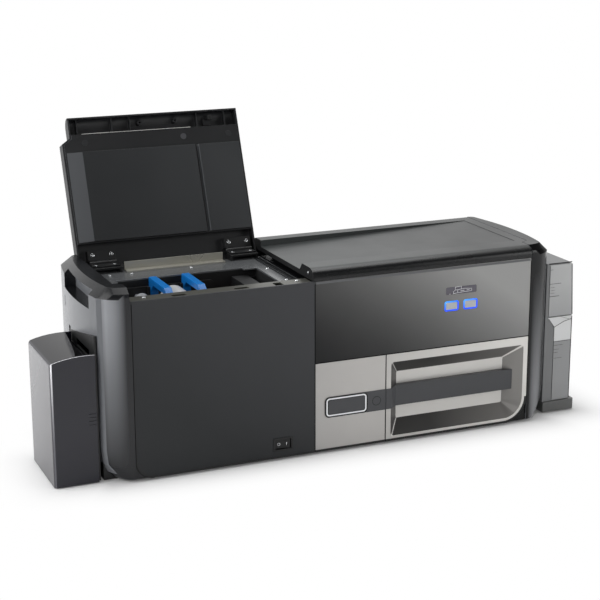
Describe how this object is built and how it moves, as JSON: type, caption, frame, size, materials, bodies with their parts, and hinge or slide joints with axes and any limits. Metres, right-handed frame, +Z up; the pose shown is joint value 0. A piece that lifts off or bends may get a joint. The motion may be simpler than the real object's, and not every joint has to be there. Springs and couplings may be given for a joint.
{
  "type": "id card printer",
  "caption": "Desktop ID card printer with an in-line laminator under an open lid, silver lower panels, a dark output hopper at the left and a clear-fronted input hopper at the right.",
  "frame": {"origin": "on the floor under the middle of the whole machine, with the laminator lid open", "axes": "+X along the front from the output hopper to the input hopper, +Y to the back, +Z up"},
  "size_m": [0.82, 0.304, 0.4591],
  "materials": {
    "charcoal_plastic": "fine texture, satin",
    "cap_plastic": "fine texture, satin",
    "gloss_dark_plastic": "glossy",
    "silver_plastic": "warm silver paint, satin",
    "graphite_plastic": "satin",
    "black_plastic": "matte",
    "inner_plastic": "matte",
    "liner_plastic": "satin",
    "display": "glossy window",
    "blue_ring": "lit blue",
    "button_grey": "satin",
    "blue_plastic": "satin",
    "smoke_plastic": "glossy smoke",
    "grey_plastic": "satin",
    "clear_smoke": "clear smoke plastic",
    "dark_clear_smoke": "darker clear smoke plastic",
    "steel": "brushed",
    "dark_steel": "dark satin paint",
    "zinc_steel": "plated",
    "rubber": "matte",
    "roller_rubber": "ground matte",
    "heat_rubber": "silicone, matte",
    "gear_plastic": "natural moulded",
    "brass": "machined",
    "film": "wound clear film",
    "ribbon_film": "wound colour ribbon",
    "board": "solder mask"
  },
  "bodies": {
    "machine": {"base_pan": "dark_steel", "rubber_feet": "rubber", "rear_panel": "dark_steel", "laminator_front_panel": "charcoal_plastic", "left_end_cap": "cap_plastic", "right_end_cap": "cap_plastic", "laminator_bay": "inner_plastic", "laminator_deck": "dark_steel", "deck_rails": "steel", "hinge_blocks": "black_plastic", "body_hinge_leaves": "black_plastic", "hinge_pins": "zinc_steel", "drive_motors": "zinc_steel", "heater_guard": "black_plastic", "dividing_wall": "dark_steel", "printer_upper_panel": "gloss_dark_plastic", "plain_lower_panel": "silver_plastic", "recess_bezel": "silver_plastic", "grip_bar": "graphite_plastic", "badge_plate": "graphite_plastic", "lock_blank": "graphite_plastic", "display_window": "display", "button_rings": "blue_ring", "rocker_bezel": "black_plastic", "printer_bay": "inner_plastic", "printer_deck": "dark_steel", "ribbon_cartridge": "inner_plastic", "hopper_mount": "black_plastic", "input_hopper_frame": "grey_plastic", "hopper_base_tray": "charcoal_plastic", "control_board": "board", "power_inlet": "black_plastic"},
    "lid": {"laminator_lid": "liner_plastic", "lid_liner": "liner_plastic", "lid_latch_hook": "zinc_steel", "lid_hinge_leaves": "black_plastic"},
    "cover": {"top_cover": "gloss_dark_plastic", "printhead": "zinc_steel"},
    "rocker": {"power_rocker": "black_plastic"},
    "left_button": {"left_button": "button_grey"},
    "right_button": {"right_button": "button_grey"},
    "cartridge": {"laminate_cartridge": "inner_plastic", "blue_handles": "blue_plastic"},
    "laminate_roll": {"laminate_roll": "film"},
    "waste_spool": {"waste_spool": "film"},
    "heated_roller": {"heated_roller": "heat_rubber", "heated_roller_gear": "gear_plastic"},
    "pressure_roller": {"pressure_roller": "roller_rubber", "pressure_roller_gear": "gear_plastic"},
    "laminator_pinion": {"laminator_pinion": "brass"},
    "platen_roller": {"platen_roller": "roller_rubber"},
    "printer_pinion": {"printer_pinion": "brass"},
    "feed_roller": {"feed_roller": "roller_rubber"},
    "ribbon_supply": {"ribbon_supply_spool": "ribbon_film"},
    "ribbon_take_up": {"ribbon_take_up_spool": "ribbon_film"},
    "output_hopper": {"output_hopper": "smoke_plastic"},
    "upper_door": {"upper_hopper_door": "clear_smoke"},
    "lower_door": {"lower_hopper_door": "dark_clear_smoke"},
    "upper_lift": {"upper_card_lift": "grey_plastic"},
    "lower_lift": {"lower_card_lift": "grey_plastic"}
  },
  "joints": [
    {"name": "lid_hinge", "type": "hinge", "parent": "machine", "child": "lid", "pos_m": [-0.1923, 0.06398, 0.25825], "axis": [1, 0, 0], "range_deg": [0, 111.5]},
    {"name": "cover_hinge", "type": "hinge", "parent": "machine", "child": "cover", "pos_m": [0.1417, 0.06398, 0.25825], "axis": [-1, 0, 0], "range_deg": [0, 95]},
    {"name": "rocker_pivot", "type": "hinge", "parent": "machine", "child": "rocker", "pos_m": [-0.08555, -0.14602, 0.024], "axis": [0, 0, 1], "range_deg": [0, 14]},
    {"name": "left_button_press", "type": "slide", "parent": "machine", "child": "left_button", "axis": [0, 1, 0], "range_m": [0, 0.0012], "stiffness_N_per_m": 500, "springref_m": -0.0005},
    {"name": "right_button_press", "type": "slide", "parent": "machine", "child": "right_button", "axis": [0, 1, 0], "range_m": [0, 0.0012], "stiffness_N_per_m": 500, "springref_m": -0.0005},
    {"name": "cartridge_lift", "type": "slide", "parent": "machine", "child": "cartridge", "axis": [0, 0, -1], "range_m": [-0.05, 0]},
    {"name": "laminate_roll_spin", "type": "hinge", "parent": "cartridge", "child": "laminate_roll", "pos_m": [-0.2043, -0.06602, 0.22], "axis": [0, 1, 0], "continuous": true},
    {"name": "waste_spool_spin", "type": "hinge", "parent": "cartridge", "child": "waste_spool", "pos_m": [-0.2503, -0.06602, 0.222], "axis": [0, 1, 0], "continuous": true},
    {"name": "pressure_roller_spin", "type": "hinge", "parent": "machine", "child": "pressure_roller", "pos_m": [-0.1203, -0.06602, 0.164], "axis": [0, 1, 0], "continuous": true},
    {"name": "heated_roller_spin", "type": "hinge", "parent": "machine", "child": "heated_roller", "pos_m": [-0.1203, -0.06602, 0.1888], "axis": [0, 1, 0], "continuous": true},
    {"name": "laminator_pinion_spin", "type": "hinge", "parent": "machine", "child": "laminator_pinion", "pos_m": [-0.1203, 0.00348, 0.1454], "axis": [0, 1, 0], "continuous": true},
    {"name": "platen_spin", "type": "hinge", "parent": "machine", "child": "platen_roller", "pos_m": [0.1637, -0.06602, 0.167], "axis": [0, 1, 0], "continuous": true},
    {"name": "printer_pinion_spin", "type": "hinge", "parent": "machine", "child": "printer_pinion", "pos_m": [0.1637, 0.00348, 0.149], "axis": [0, 1, 0], "continuous": true},
    {"name": "feed_roller_spin", "type": "hinge", "parent": "machine", "child": "feed_roller", "pos_m": [0.2537, -0.06602, 0.167], "axis": [0, 1, 0], "continuous": true},
    {"name": "ribbon_supply_spin", "type": "hinge", "parent": "machine", "child": "ribbon_supply", "pos_m": [0.2067, -0.06602, 0.218], "axis": [0, 1, 0], "continuous": true},
    {"name": "ribbon_take_up_spin", "type": "hinge", "parent": "machine", "child": "ribbon_take_up", "pos_m": [0.1257, -0.06602, 0.218], "axis": [0, 1, 0], "continuous": true},
    {"name": "output_hopper_lift", "type": "slide", "parent": "machine", "child": "output_hopper", "axis": [0, 0, 1], "range_m": [0, 0.006]},
    {"name": "upper_door_hinge", "type": "hinge", "parent": "machine", "child": "upper_door", "pos_m": [0.3985, -0.04002, 0.192], "axis": [0, 0, 1], "range_deg": [0, 100]},
    {"name": "lower_door_hinge", "type": "hinge", "parent": "machine", "child": "lower_door", "pos_m": [0.3985, -0.04002, 0.085], "axis": [0, 0, 1], "range_deg": [0, 100]},
    {"name": "upper_lift_slide", "type": "slide", "parent": "machine", "child": "upper_lift", "axis": [0, 0, 1], "range_m": [0, 0.065]},
    {"name": "lower_lift_slide", "type": "slide", "parent": "machine", "child": "lower_lift", "axis": [0, 0, 1], "range_m": [0, 0.11]}
  ],
  "couplings": [
    {"joint": "heated_roller_spin", "follows": "pressure_roller_spin", "ratio": -1},
    {"joint": "laminator_pinion_spin", "follows": "pressure_roller_spin", "ratio": -2},
    {"joint": "printer_pinion_spin", "follows": "platen_spin", "ratio": -2}
  ]
}
